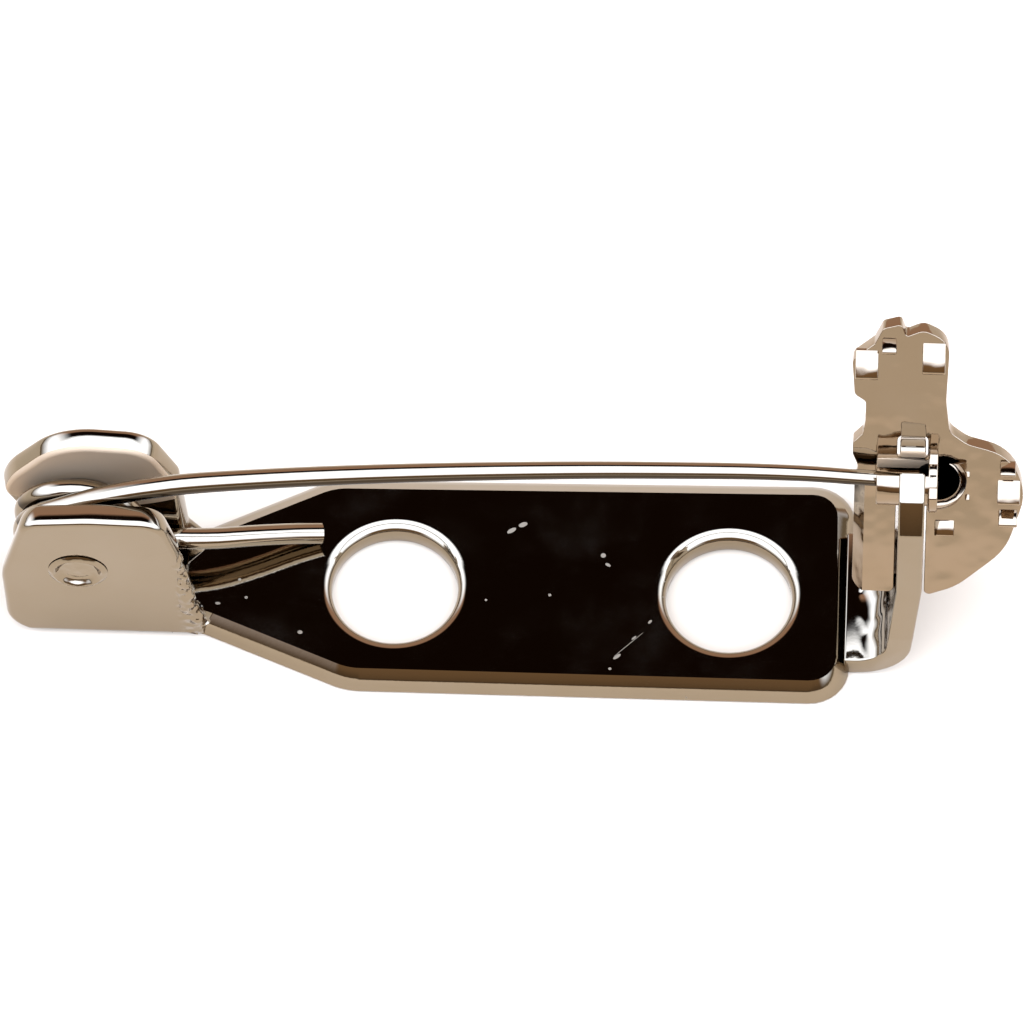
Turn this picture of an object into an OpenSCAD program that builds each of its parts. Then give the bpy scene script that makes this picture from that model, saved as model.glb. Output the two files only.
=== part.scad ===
// Bar pin finding: a stamped plate with two sewing holes, a riveted spring pin and a rotary catch.
// Millimetres. X runs along the bar from the hinge to the catch, Y to the far side and Z up.
// The origin is on the underside, midway between the two sewing holes.

/* [Plate] */
// Thickness of the sheet that the plate, the ears and the post are stamped from
sheet_t = 0.5; // [0.45:0.01:0.5]
// Width of the plate at its hinge end, before the taper
plate_w = 4.64; // [4.4:0.02:4.9]
// How far the plate's middle line sits beyond the sewing holes' line
plate_shift = 0.13; // [0:0.01:0.15]
// How much wider the plate is at its catch end
plate_flare = 0.16; // [0:0.01:0.2]
// Distance from the origin to the plate's end by the catch
plate_catch_end = 5.7; // [5.6:0.05:5.85]
// Distance from the origin to where the near edge starts to narrow by the hinge
taper_near = 4.18; // [4:0.02:4.6]
// Distance from the origin to where the far edge starts to narrow by the hinge
taper_far = 4.66; // [4.2:0.02:5]
// Radius of the two corners by the catch
corner_r = 0.8; // [0.2:0.1:1]

/* [Sewing holes] */
// Distance between the two holes
hole_pitch = 6.58; // [6.2:0.02:6.8]
// Radius of each hole
hole_r = 1.24; // [1:0.01:1.3]
// Radius of the rounding at each hole's upper rim
hole_rim_r = 0.24; // [0.1:0.01:0.25]

/* [Hinge] */
// Distance from the origin to the rivet's axis
rivet_x = 9.37; // [9.3:0.01:9.4]
// Height of the rivet's axis
rivet_z = 2.5; // [2.5:0.01:2.6]
// Clear width between the two ears
ear_gap = 1.14; // [1.1:0.01:1.2]
// How far the ears sit off the plate's middle line
ear_shift = 0.03; // [0:0.01:0.1]
// Height of the near ear
ear_near_h = 4.32; // [4.2:0.02:4.7]
// Height of the far ear
ear_far_h = 4.5; // [4.4:0.02:5]
// Outer radius of the sharp fold at the foot of each ear
fold_r = 0.22; // [0.16:0.01:0.3]
// Radius of the rivet's barrel between the ears
rivet_barrel_r = 0.85; // [0.8:0.01:0.86]
// Radius of the rivet where it passes through the ears
rivet_shank_r = 0.43; // [0.38:0.01:0.46]
// Radius of the rivet's staked ends
rivet_head_r = 0.58; // [0.52:0.01:0.64]
// Thickness of the rivet's staked ends
rivet_head_t = 0.12; // [0.08:0.01:0.16]

/* [Pin wire] */
// Diameter of the wire in the coil
wire_d = 0.42; // [0.38:0.01:0.42]
// Mean radius of the coil
coil_r = 1.12; // [1.11:0.01:1.14]
// Radius of the stem where it enters the catch
stem_end_r = 0.15; // [0.13:0.005:0.155]
// Distance from the origin to the pin's point
point_x = 7.08; // [7:0.02:7.1]

/* [Catch] */
// Distance from the origin to the post's inner face
post_x = 6.56; // [6.56:0.01:6.6]
// Width of the post at its foot
post_foot_w = 2.9; // [2.4:0.1:3.2]
// Height of the rotor's axis
rotor_z = 5.12; // [5.1:0.01:5.14]
// Outer radius of the post's round head
post_head_r = 0.82; // [0.78:0.01:0.82]
// Radius of the rotor's barrel
barrel_r = 0.5; // [0.46:0.01:0.5]
// Width of the slot that lets the pin in
slot_w = 0.36; // [0.36:0.01:0.42]
// Thickness of the rotor's thumb plate
thumb_t = 0.32; // [0.28:0.01:0.34]
// Angle that the thumb plate leans back from upright
thumb_lean = 25; // [20:1:30]

/* [Hidden] */

steel_colour = [0.78, 0.74, 0.69];
wire_colour = [0.84, 0.81, 0.77];
rivet_colour = [0.66, 0.63, 0.59];
rotor_colour = [0.72, 0.66, 0.58];

round_steps = 6;
half_w = plate_w / 2;
ear_out = ear_gap / 2 + sheet_t;
ear_right_x = -7.38;
neck_half_w = post_foot_w / 2;
bend_in_r = 0.6;
bend_out_r = bend_in_r + sheet_t;
foot_set_in = 0.16;
bend_x = post_x - foot_set_in - bend_in_r;
post_out_x = post_x + sheet_t;
fit_gap = 0.04;
seat_gap = 0.01;
bore_r = barrel_r + fit_gap;
pin_way_r = 0.23;
post_shoulder_w = 1.14;
post_shoulder_drop = 0.24;
post_roof_angle = 57;
top_slope = 20;
fold_in_r = 0.08;
eps = 0.01;

// One rounded corner: the arc that joins the sides a-b and b-c with radius b[2]
function corner(a, b, c) =
    let (
        in_dir = unit([a[0] - b[0], a[1] - b[1]]),
        out_dir = unit([c[0] - b[0], c[1] - b[1]]),
        half = acos(in_dir * out_dir) / 2,
        back = b[2] / tan(half),
        mid_dir = unit(in_dir + out_dir),
        middle = [b[0], b[1]] + mid_dir * (b[2] / sin(half)),
        from = [b[0], b[1]] + in_dir * back - middle,
        to = [b[0], b[1]] + out_dir * back - middle,
        from_a = atan2(from[1], from[0]),
        turn = wrap(atan2(to[1], to[0]) - from_a)
    )
    [for (i = [0 : round_steps]) middle + b[2] * polar(from_a + turn * i / round_steps)];

function unit(v) = v / norm(v);
function polar(a) = [cos(a), sin(a)];
function wrap(a) = a > 180 ? a - 360 : (a < -180 ? a + 360 : a);

// Outline from rows of [x, y, corner radius]; a radius of 0 keeps the corner sharp
function rounded(rows) =
    let (n = len(rows))
    [for (i = [0 : n - 1])
        each (rows[i][2] > 0
            ? corner(rows[(i + n - 1) % n], rows[i], rows[(i + 1) % n])
            : [[rows[i][0], rows[i][1]]])];

// Outline of the flat bar seen from above
module bar_outline() {
    foot_x = ear_right_x - 0.3;
    fold_edge = 0.06;
    near_y = ear_out - ear_shift - fold_edge;
    far_y = ear_out + ear_shift - fold_edge;
    polygon(rounded([
        [foot_x, -near_y, 0],
        [ear_right_x + 0.3, -near_y, 0.6],
        [-taper_near, plate_shift - half_w, 1.5],
        [plate_catch_end, plate_shift - half_w, corner_r],
        [plate_catch_end, plate_shift + half_w + plate_flare, corner_r],
        [-taper_far, plate_shift + half_w, 1.5],
        [ear_right_x + 0.3, far_y + 0.2, 0.3],
        [foot_x, far_y, 0]
    ]));
}

// A sewing hole with a rounded upper rim and a small break at the lower one
module sewing_hole() {
    lower_break = 0.06;
    translate([0, 0, -1]) cylinder(r = hole_r, h = sheet_t + 2, $fn = 96);
    rotate_extrude($fn = 96)
        polygon(concat(
            [[0, sheet_t + 1], [0, sheet_t - hole_rim_r], [hole_r, sheet_t - hole_rim_r]],
            [for (a = [15 : 15 : 90])
                [hole_r + hole_rim_r, sheet_t - hole_rim_r] + hole_rim_r * polar(180 - a)],
            [[hole_r + hole_rim_r, sheet_t + 1]]));
    translate([0, 0, -eps]) cylinder(r1 = hole_r + lower_break + eps, r2 = hole_r, h = lower_break + eps, $fn = 96);
}

// Side views of the two ears as rows of [x, z, corner radius], down past the underside,
// where the fold trims them
ear_foot = [
    [ear_right_x, 1.1, 0.5],
    [ear_right_x + 0.4, 0.45, 0.2],
    [ear_right_x + 0.4, -0.1, 0]
];
near_ear = concat([
    [-10.86, -0.02, 0.8],
    [-10.89, 2.2, 1.5],
    [-10.38, ear_near_h - 0.1, 0.5],
    [-9.1, ear_near_h + 0.03, 2.5],
    [-7.66, ear_near_h - 0.02, 0.6],
    [ear_right_x, ear_near_h - 1.2, 0.8]
], ear_foot);
far_ear = concat([
    [-10.72, -0.02, 0.7],
    [-10.5, 1.6, 0.6],
    [-10.97, 2.7, 0.5],
    [-10.8, ear_far_h - 1.3, 1.5],
    [-9.78, ear_far_h - 0.02, 1.4],
    [-8, ear_far_h - 0.17, 0.8],
    [ear_right_x - 0.1, ear_far_h - 1.45, 0.6]
], ear_foot);

// End view of one folded ear with half of the floor between the ears
module fold_profile() {
    outer_mid = [-ear_out + fold_r, fold_r];
    inner_mid = [-ear_gap / 2 + fold_in_r, sheet_t + fold_in_r];
    polygon(concat(
        [[0, 0]],
        [for (a = [0 : 15 : 90]) outer_mid + fold_r * polar(270 - a)],
        [[-ear_out, 7], [-ear_gap / 2, 7]],
        [for (a = [0 : 30 : 90]) inner_mid + fold_in_r * polar(180 + a)],
        [[0, sheet_t]]));
}

// One ear and its half of the floor; side is -1 for the near ear and 1 for the far one
module ear(side, outline) {
    translate([0, ear_shift, 0])
        mirror([0, side > 0 ? 1 : 0, 0])
            intersection() {
                rotate([90, 0, 90]) translate([0, 0, -12]) linear_extrude(6) fold_profile();
                rotate([90, 0, 0]) translate([0, 0, -1]) linear_extrude(4) polygon(rounded(outline));
            }
}

// Side view of the neck, the bend and the post, which leans out a little until it stands upright
module post_side() {
    upright_from = 3;
    polygon(concat(
        [[plate_catch_end - 0.5, 0]],
        [for (a = [0 : 10 : 90]) [bend_x, bend_out_r] + bend_out_r * polar(270 + a)],
        [[post_out_x, upright_from], [post_out_x, 7], [post_x, 7], [post_x, upright_from]],
        [for (a = [0 : 10 : 90]) [bend_x, bend_out_r] + bend_in_r * polar(360 - a)],
        [[plate_catch_end - 0.5, sheet_t]]));
}

// End view of the post below its round top: a wide foot, a slow taper and two sloping shoulders
module post_front() {
    side = [
        [neck_half_w, -0.1, 0],
        [neck_half_w, 1.4, 1],
        [post_shoulder_w, rotor_z - post_shoulder_drop, 0.12],
        [post_head_r * sin(post_roof_angle), rotor_z + post_head_r * cos(post_roof_angle), 0]
    ];
    far = [for (i = [len(side) - 1 : -1 : 0]) [-side[i][0], side[i][1], side[i][2]]];
    polygon(rounded(concat(side, far)));
}

module post() {
    difference() {
        intersection() {
            rotate([90, 0, 0]) translate([0, 0, -3]) linear_extrude(6) post_side();
            union() {
                rotate([90, 0, 90]) translate([0, 0, 5]) linear_extrude(4) post_front();
                translate([5, 0, rotor_z]) rotate([0, 90, 0]) cylinder(r = post_head_r, h = 4, $fn = 72);
            }
        }
        translate([post_x - 1, 0, rotor_z]) rotate([0, 90, 0]) cylinder(r = bore_r, h = sheet_t + 2, $fn = 72);
        translate([post_x - 1, -slot_w / 2, rotor_z]) cube([sheet_t + 2, slot_w, 2]);
        sloped_top(post_x - 1, sheet_t + 2, bore_r + 0.08, post_head_r);
    }
}

// What is pressed off the round top of the post or the collar, which leaves a flat that slopes to the front
module sloped_top(from_x, length, flat_at, half_span) {
    translate([from_x, 0, rotor_z])
        rotate([top_slope, 0, 0])
            translate([0, -half_span, flat_at]) cube([length, 2 * half_span, 0.3]);
}

module base_plate() {
    color(steel_colour)
    difference() {
        union() {
            linear_extrude(sheet_t) bar_outline();
            ear(-1, near_ear);
            ear(1, far_ear);
            post();
        }
        for (x = [-hole_pitch / 2, hole_pitch / 2]) translate([x, 0, 0]) sewing_hole();
        translate([-rivet_x, 3, rivet_z]) rotate([90, 0, 0]) cylinder(r = rivet_shank_r + 0.02, h = 6, $fn = 48);
    }
}

// The rivet's half section: its barrel, shank and staked end with a dished face
module rivet_half_section() {
    barrel_half = ear_gap / 2 - 0.03;
    head_in = ear_out + seat_gap;
    head_out = head_in + rivet_head_t;
    polygon([
        [0, 0], [rivet_barrel_r, 0], [rivet_barrel_r, barrel_half], [rivet_shank_r, barrel_half],
        [rivet_shank_r, head_in], [rivet_head_r, head_in], [rivet_head_r, head_out - 0.06],
        [rivet_head_r - 0.08, head_out], [rivet_head_r - 0.2, head_out], [rivet_head_r - 0.3, head_out - 0.07],
        [0, head_out - 0.07]
    ]);
}

module hinge_rivet() {
    color(rivet_colour)
    translate([-rivet_x, ear_shift, rivet_z])
        for (side = [0, 1])
            mirror([0, side, 0])
                rotate([90, 0, 0])
                    rotate_extrude($fn = 72) rivet_half_section();
}

// The wire's middle line as rows of [x, y, z, radius], from the tail's end to the point
wire_r = wire_d / 2;
coil_start_y = 0.305;
coil_end_y = -0.295;
coil_from = 266;
coil_to = 117 - 360;
coil_steps = 44;
tail = [
    [-4.78, 0.93, sheet_t + wire_r + 0.03],
    [-5.3, 0.82, 0.89],
    [-5.9, 0.66, 1.08],
    [-6.4, 0.53, 1.21],
    [-6.8, 0.44, 1.29],
    [-7.3, 0.375, 1.36],
    [-7.9, 0.35, 1.39],
    [-8.6, 0.33, 1.39]
];
stem = [
    [-9.3, -0.27, 3.79],
    [-8.85, -0.26, 4.02],
    [-8.4, -0.25, 4.2],
    [-7.8, -0.24, 4.4],
    [-6.94, -0.22, 4.6],
    [-5, -0.18, 4.87],
    [-3.06, -0.14, 5.06],
    [-1.13, -0.1, 5.19],
    [0.8, -0.06, 5.27],
    [2.72, -0.03, 5.3],
    [3.8, -0.01, 5.29],
    [4.8, 0, 5.25],
    [5.6, 0, 5.18],
    [6.1, 0, 5.14],
    [6.5, 0, 5.12],
    [6.8, 0, 5.12],
    [7, 0, 5.12],
    [point_x, 0, 5.12]
];

point_from = 6.3;

function stem_radius(x) =
    x > point_from
        ? max(0.02, stem_end_r * (point_x - x) / (point_x - point_from))
        : wire_r + (stem_end_r - wire_r) * max(0, (x + 8) / (point_from + 8));

wire_rows = concat(
    [for (p = tail) [p[0], p[1] + ear_shift, p[2], wire_r]],
    [for (i = [0 : coil_steps])
        let (
            k = i / coil_steps,
            a = coil_from + (coil_to - coil_from) * k
        )
        [-rivet_x + coil_r * cos(a), coil_start_y + (coil_end_y - coil_start_y) * k + ear_shift,
            rivet_z + coil_r * sin(a), wire_r]],
    [for (p = stem) [p[0], p[1] + ear_shift * max(0, -p[0] / 9), p[2], stem_radius(p[0])]]);

// A tube along rows of [x, y, z, radius], with flat ends; the rings stay square to the path
module tube(rows, sides) {
    n = len(rows);
    function place(i) = [rows[i][0], rows[i][1], rows[i][2]];
    function along(i) = unit(place(min(i + 1, n - 1)) - place(max(i - 1, 0)));
    points = [for (i = [0 : n - 1])
        let (
            forward = along(i),
            across = unit(cross(forward, [0, 1, 0])),
            side = cross(across, forward)
        )
        for (s = [0 : sides - 1])
            place(i) + rows[i][3] * (across * cos(360 * s / sides) + side * sin(360 * s / sides))];
    walls = [for (i = [0 : n - 2])
        for (s = [0 : sides - 1])
            let (t = (s + 1) % sides)
            [i * sides + s, i * sides + t, (i + 1) * sides + t, (i + 1) * sides + s]];
    first = [for (s = [sides - 1 : -1 : 0]) s];
    last = [for (s = [0 : sides - 1]) (n - 1) * sides + s];
    polyhedron(points, concat(walls, [first, last]), convexity = 8);
}

module pin_wire() {
    color(wire_colour) tube(wire_rows, 14);
}

// Thumb plate seen square on: x along the bar and y up the plate from the barrel
module thumb_outline() {
    gap_low_x = post_x - 0.05;
    gap_high_x = post_out_x + 0.04;
    bridge_y = 0.78;
    polygon(rounded([
        [5.7, -2.88, 0.15],
        [gap_low_x, -2.9, 0.12],
        [gap_low_x, bridge_y, 0.1],
        [gap_high_x, bridge_y, 0.1],
        [gap_high_x, -2.98, 0.1],
        [7.72, -2.74, 1.2],
        [8.66, -1.84, 1.4],
        [9.02, -0.5, 1.2],
        [8.68, 0.38, 0.9],
        [7.85, 0.62, 0.6],
        [7.5, 0.9, 0.3],
        [7.42, 1.6, 1],
        [7.46, 2.98, 0.5],
        [6.95, 3.24, 0.25],
        [6.62, 3.08, 0.04],
        [6.52, 3.36, 0.08],
        [6.18, 3.26, 0.12],
        [6.02, 2.9, 0.12],
        [5.6, 2.52, 0.2],
        [5.66, 1.72, 0.15],
        [5.88, 1.56, 0.1],
        [5.88, 1.12, 0.1],
        [5.84, 0.82, 0.1],
        [5.65, 0.6, 0.1],
        [5.65, 0.34, 0.1],
        [5.76, 0.06, 0.1],
        [5.7, -0.3, 0.2]
    ]));
}

// Raised grips on the thumb plate as rows of [x, y, width, height]
grips = [
    [5.66, 2.2, 0.44, 0.56],
    [6.94, 2.36, 0.44, 0.6],
    [6.16, 2.8, 0.28, 0.22],
    [8.5, 0.02, 0.3, 0.2],
    [8.46, -0.64, 0.44, 0.46],
    [8.5, -1.16, 0.36, 0.28]
];
grip_rise = 0.24;

// A grip rises towards its lower edge, so that a fingertip catches on it
module grip(row) {
    sunk = 0.1;
    translate([row[0], row[1], 0])
        rotate([90, 0, 90])
            linear_extrude(row[2])
                polygon([[0, -sunk], [row[3], -sunk], [row[3], 0.01], [0.1, grip_rise], [0.03, grip_rise],
                    [0, grip_rise - 0.05]]);
}

// The plate stands this far behind the rotor's axis, measured square to its face
thumb_offset = 0.34;

module thumb_plate() {
    translate([0, 0, rotor_z])
        rotate([90 - thumb_lean, 0, 0])
            translate([0, 0, -thumb_offset]) {
                translate([0, 0, -thumb_t]) linear_extrude(thumb_t) thumb_outline();
                for (row = grips) grip(row);
            }
}

// The barrel with its pin way, open at the top, and the dished cup at its outer end
module catch_rotor() {
    barrel_from = 6.12;
    cup_x = 7.3;
    cup_r = 0.42;
    cup_wall = 0.14;
    collar_r = 0.62;
    collar_from = post_out_x + 0.06;
    color(rotor_colour)
    difference() {
        union() {
            translate([barrel_from, 0, rotor_z])
                rotate([0, 90, 0]) cylinder(r = barrel_r, h = cup_x - barrel_from, $fn = 72);
            translate([collar_from, 0, rotor_z])
                rotate([0, 90, 0]) cylinder(r = collar_r, h = cup_x - collar_from, $fn = 72);
            translate([cup_x, 0, rotor_z]) difference() {
                sphere(r = cup_r + cup_wall, $fn = 64);
                translate([-1, -1, 0]) cube([2, 2, 1]);
                translate([-2 - 0.16, -1, -1]) cube([2, 2, 2]);
            }
            thumb_plate();
        }
        sloped_top(collar_from - eps, cup_x - collar_from + 2 * eps, barrel_r - 0.06, collar_r - 0.16);
        translate([cup_x, 0, rotor_z]) difference() {
            sphere(r = cup_r, $fn = 64);
            translate([-2, -1, -1]) cube([2, 2, 2]);
        }
        translate([barrel_from - 1, 0, rotor_z])
            rotate([0, 90, 0]) cylinder(r = pin_way_r, h = post_out_x + 0.06 - barrel_from + 1, $fn = 48);
        translate([barrel_from - 1, -slot_w / 2, rotor_z])
            cube([post_out_x + 0.06 - barrel_from + 1, slot_w, 1]);
    }
}

base_plate();
hinge_rivet();
pin_wire();
catch_rotor();
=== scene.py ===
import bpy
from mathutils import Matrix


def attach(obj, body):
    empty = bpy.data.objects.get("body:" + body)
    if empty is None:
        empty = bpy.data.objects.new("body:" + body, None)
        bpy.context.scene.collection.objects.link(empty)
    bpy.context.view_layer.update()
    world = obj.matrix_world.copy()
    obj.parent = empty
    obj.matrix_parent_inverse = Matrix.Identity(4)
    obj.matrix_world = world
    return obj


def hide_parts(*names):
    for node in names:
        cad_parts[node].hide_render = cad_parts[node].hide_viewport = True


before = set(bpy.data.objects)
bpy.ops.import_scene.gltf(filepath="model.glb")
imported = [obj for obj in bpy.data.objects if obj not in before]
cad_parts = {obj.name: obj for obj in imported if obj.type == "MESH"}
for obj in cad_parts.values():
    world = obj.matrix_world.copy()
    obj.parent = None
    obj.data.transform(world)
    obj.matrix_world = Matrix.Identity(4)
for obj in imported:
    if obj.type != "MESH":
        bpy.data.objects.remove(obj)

"""Looks of a bar pin finding: nickel-plated stampings, a riveted spring pin and a rotary catch.

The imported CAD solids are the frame. Each piece here is a finer form of one of them, with the
rolled and rounded edges of real stampings, and it rides on the same body.
"""

import logging
import math
from collections.abc import Callable, Iterator
from contextlib import contextmanager
from dataclasses import dataclass
from enum import Enum

import bpy
from mathutils import Matrix, Vector

logging.basicConfig(level=logging.INFO, format="%(message)s")
LOG = logging.getLogger("bar_pin")
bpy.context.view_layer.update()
MM = 0.001

Point = tuple[float, float]
Row = tuple[float, float, float]
Colour = tuple[float, float, float, float]
Stop = tuple[float, Colour]
Piece = bpy.types.Object
Socket = bpy.types.NodeSocket
Number = Socket | float
Place = Callable[[float, float, float], Row]


class Body(Enum):
    """The moving bodies of the finding."""

    ROOT = "root"
    PIN = "pin"
    ROTOR = "rotor"


# Colours and nodes


def linear(code: str) -> Colour:
    """Turns an sRGB hex colour to linear values.

    Args:
        code: six hex digits.

    Returns:
        Red, green and blue in linear light, and an alpha of 1.
    """
    values = [int(code[i : i + 2], 16) / 255 for i in (0, 2, 4)]
    bent = [v / 12.92 if v <= 0.04045 else ((v + 0.055) / 1.055) ** 2.4 for v in values]
    return (bent[0], bent[1], bent[2], 1.0)


class Tree:
    """A node tree that is being built.

    Attributes:
        tree: the tree of a material or a world.
        at: the sockets of its coordinates.
    """

    def __init__(self, tree: bpy.types.NodeTree) -> None:
        """Empties the tree and adds its coordinates.

        Args:
            tree: the tree of a material or a world.
        """
        self.tree = tree
        tree.nodes.clear()
        self.at = self.add("ShaderNodeTexCoord", {}).outputs

    def add(self, kind: str, inputs: dict) -> bpy.types.Node:
        """Adds one node with its settings and links.

        Args:
            kind: Blender's name of the node type.
            inputs: values by property name, and values or source sockets by input name or number.

        Returns:
            The new node.
        """
        node = self.tree.nodes.new(kind)
        for name, value in inputs.items():
            if isinstance(value, Socket):
                self.tree.links.new(value, node.inputs[name])
            elif isinstance(name, str) and hasattr(node, name):
                setattr(node, name, value)
            else:
                node.inputs[name].default_value = value
        return node

    def math(self, operation: str, first: Number, second: Number | None = None) -> Socket:
        """Works out one number.

        Args:
            operation: the sum's name in Blender.
            first: a socket or a number.
            second: a socket or a number, where the sum takes two.

        Returns:
            The result's socket.
        """
        given = {0: first} if second is None else {0: first, 1: second}
        return self.add("ShaderNodeMath", {"operation": operation, **given}).outputs[0]

    def span(self, value: Socket, source: Point, target: Point = (0.0, 1.0), smooth: bool = False) -> Socket:
        """Maps one range of numbers to another and stops at its ends.

        Args:
            value: the number's socket.
            source: the range it comes from.
            target: the range it goes to.
            smooth: whether it eases in and out.

        Returns:
            The result's socket.
        """
        ranges = {"From Min": source[0], "From Max": source[1], "To Min": target[0], "To Max": target[1]}
        kind = "SMOOTHSTEP" if smooth else "LINEAR"
        return self.add("ShaderNodeMapRange", {"interpolation_type": kind, "Value": value, **ranges}).outputs[0]

    def length(self, vector: Socket) -> Socket:
        """The length of a vector."""
        return self.add("ShaderNodeVectorMath", {"operation": "LENGTH", 0: vector}).outputs["Value"]

    def mix(self, share: Socket, first: Socket | Colour, second: Socket | Colour) -> Socket:
        """Blends two colours, sockets or values, where the share is that of the second."""
        return self.add("ShaderNodeMix", {"data_type": "RGBA", "Factor": share, 6: first, 7: second}).outputs[2]

    def ramp(self, share: Socket, stops: list[Stop]) -> Socket:
        """Turns a number to a colour.

        Args:
            share: the number, from 0 to 1.
            stops: places from 0 to 1 with their linear colours.

        Returns:
            The colour's socket.
        """
        node = self.add("ShaderNodeValToRGB", {"Fac": share})
        band = node.color_ramp
        band.elements[0].position, band.elements[0].color = stops[0]
        band.elements[1].position, band.elements[1].color = stops[-1]
        for place, colour in stops[1:-1]:
            band.elements.new(place).color = colour
        return node.outputs[0]

    def noise(self, spacing_mm: float, detail: float, roughness: float) -> Socket:
        """Adds cloudy noise whose spots are about as far apart as the spacing says."""
        settings = {"Scale": 1 / (spacing_mm * MM), "Detail": detail, "Roughness": roughness}
        return self.add("ShaderNodeTexNoise", {"Vector": self.at["Object"], **settings}).outputs["Fac"]

    def bump(self, strength: Number, depth_mm: float, height: Socket, under: Socket | None = None) -> Socket:
        """Raises a surface.

        Args:
            strength: how much of the relief shows, a socket or a number.
            depth_mm: the relief's depth.
            height: the relief, from 0 to 1.
            under: the relief that this one comes on top of.

        Returns:
            The normal's socket.
        """
        base = {} if under is None else {"Normal": under}
        relief = {"Strength": strength, "Distance": depth_mm * MM, "Height": height, **base}
        return self.add("ShaderNodeBump", relief).outputs[0]

    def surface(self, settings: dict) -> None:
        """Ends a material with a shader of these settings."""
        shader = self.add("ShaderNodeBsdfPrincipled", settings)
        self.add("ShaderNodeOutputMaterial", {"Surface": shader.outputs[0]})


def new_material(name: str) -> tuple[bpy.types.Material, Tree]:
    """Makes an empty material, and returns it with its tree."""
    material = bpy.data.materials.new(name)
    material.use_nodes = True
    return material, Tree(material.node_tree)


# Finishes

# painted sheen: the lighter, warmer colour given to satin faces
SATIN_SHEEN = "B39A7C"
SATIN_ROUGHNESS = 0.72
MARK_ROUGHNESS = 0.5
# the share of red, green, blue and alpha that stays where the plating is stained
STAIN = (0.9, 0.86, 0.78, 1.0)
# painted shade: the dark given to metal that has nothing bright before it, on the wire's sides and in the cup
UNLIT = "271D12"
HOLLOW_SHADE = "120D0A"


@dataclass(frozen=True)
class Zone:
    """A place on a piece, as an ellipsoid.

    Attributes:
        middle: its middle in mm.
        reach: half its size along each of its axes in mm.
        turn: its angle to the bar in degrees, seen from above.
    """

    middle: Row
    reach: Row
    turn: float = 0.0

    def depth(self, tree: Tree) -> Socket:
        """Measures how far a point of the surface is from the zone's middle.

        Args:
            tree: the material's tree.

        Returns:
            0 at the middle and 1 at the zone's edge.
        """
        frame_of_zone = {
            "vector_type": "TEXTURE",
            "Vector": tree.at["Object"],
            "Location": tuple(v * MM for v in self.middle),
            "Rotation": (0.0, 0.0, math.radians(self.turn)),
            "Scale": tuple(v * MM for v in self.reach),
        }
        return tree.length(tree.add("ShaderNodeMapping", frame_of_zone).outputs[0])

    def inside(self, tree: Tree) -> Socket:
        """A mask that is 1 in the zone."""
        return tree.math("LESS_THAN", self.depth(tree), 1.0)


def nick(x: float, y: float, half_long: float, half_wide: float, turn: float) -> Zone:
    """A short scratch or a dot of bare metal in the plate's top, at any height.

    Args:
        x: place along the bar in mm.
        y: place across the bar in mm.
        half_long: half its length in mm.
        half_wide: half its width in mm.
        turn: its angle to the bar in degrees.

    Returns:
        The nick's zone.
    """
    return Zone((x, y, 0.0), (half_long, half_wide, 1 / MM), turn)


@dataclass(frozen=True)
class Crumple:
    """A zone where working creased the sheet.

    Attributes:
        zone: where the creases are.
        spacing_mm: how far apart they are.
        depth_mm: how deep they are.
    """

    zone: Zone
    spacing_mm: float
    depth_mm: float

    def bump(self, tree: Tree, under: Socket) -> Socket:
        """Creases the surface, which breaks the mirror into small facets.

        Args:
            tree: the material's tree.
            under: the normal that the creases come on top of.

        Returns:
            The normal's socket.
        """
        pattern = {"feature": "SMOOTH_F1", "Vector": tree.at["Object"], "Scale": 1 / (self.spacing_mm * MM)}
        facets = tree.add("ShaderNodeTexVoronoi", pattern).outputs["Distance"]
        fading = tree.span(self.zone.depth(tree), (0.5, 1.0), (1.0, 0.0), smooth=True)
        return tree.bump(fading, self.depth_mm, facets, under)


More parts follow.
